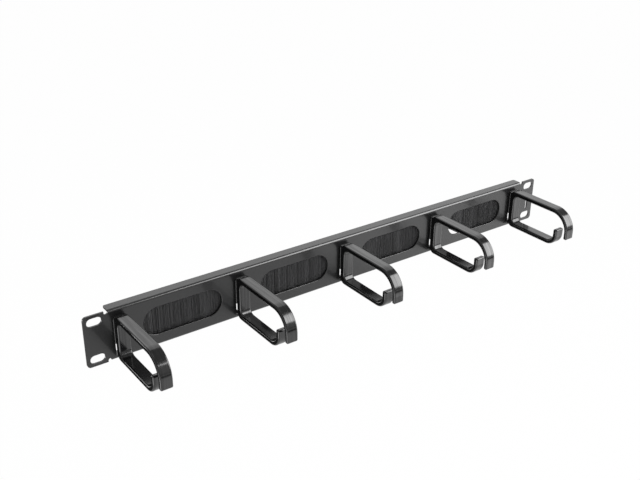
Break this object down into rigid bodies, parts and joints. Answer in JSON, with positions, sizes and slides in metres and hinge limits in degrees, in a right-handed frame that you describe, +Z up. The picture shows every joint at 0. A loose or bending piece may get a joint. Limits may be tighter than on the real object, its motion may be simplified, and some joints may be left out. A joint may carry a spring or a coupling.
{
  "type": "horizontal cable manager",
  "caption": "One-unit rack panel in folded black steel with obround brush windows and open moulded cable rings along its front.",
  "frame": {"origin": "centre of the four rack slots, on the rear face of the ears where they meet the rack's rails", "axes": "+X along the panel to the right seen from the front, +Y into the rack, +Z up; the rings stand out towards -Y"},
  "size_m": [0.4826, 0.0836, 0.0436],
  "materials": {
    "panel_paint": "satin black powder coat",
    "ring_plastic": "gloss black moulding",
    "holder_paint": "satin black powder coat",
    "channel_metal": "mill finish",
    "wire_steel": "drawn wire",
    "bristle_nylon": "fine black filaments",
    "fixing_zinc": "bright zinc plate"
  },
  "bodies": {
    "root": {"front_panel": "panel_paint", "cable_ring_1": "ring_plastic", "cable_ring_2": "ring_plastic", "cable_ring_3": "ring_plastic", "cable_ring_4": "ring_plastic", "cable_ring_5": "ring_plastic", "brush_holder_1": "holder_paint", "brush_channel_1": "channel_metal", "brush_core_wire_1": "wire_steel", "brush_bristles_1": "bristle_nylon", "brush_holder_2": "holder_paint", "brush_channel_2": "channel_metal", "brush_core_wire_2": "wire_steel", "brush_bristles_2": "bristle_nylon", "brush_holder_3": "holder_paint", "brush_channel_3": "channel_metal", "brush_core_wire_3": "wire_steel", "brush_bristles_3": "bristle_nylon", "brush_holder_4": "holder_paint", "brush_channel_4": "channel_metal", "brush_core_wire_4": "wire_steel", "brush_bristles_4": "bristle_nylon", "weld_studs": "fixing_zinc", "stud_washers": "fixing_zinc", "stud_nuts": "fixing_zinc"}
  },
  "joints": []
}
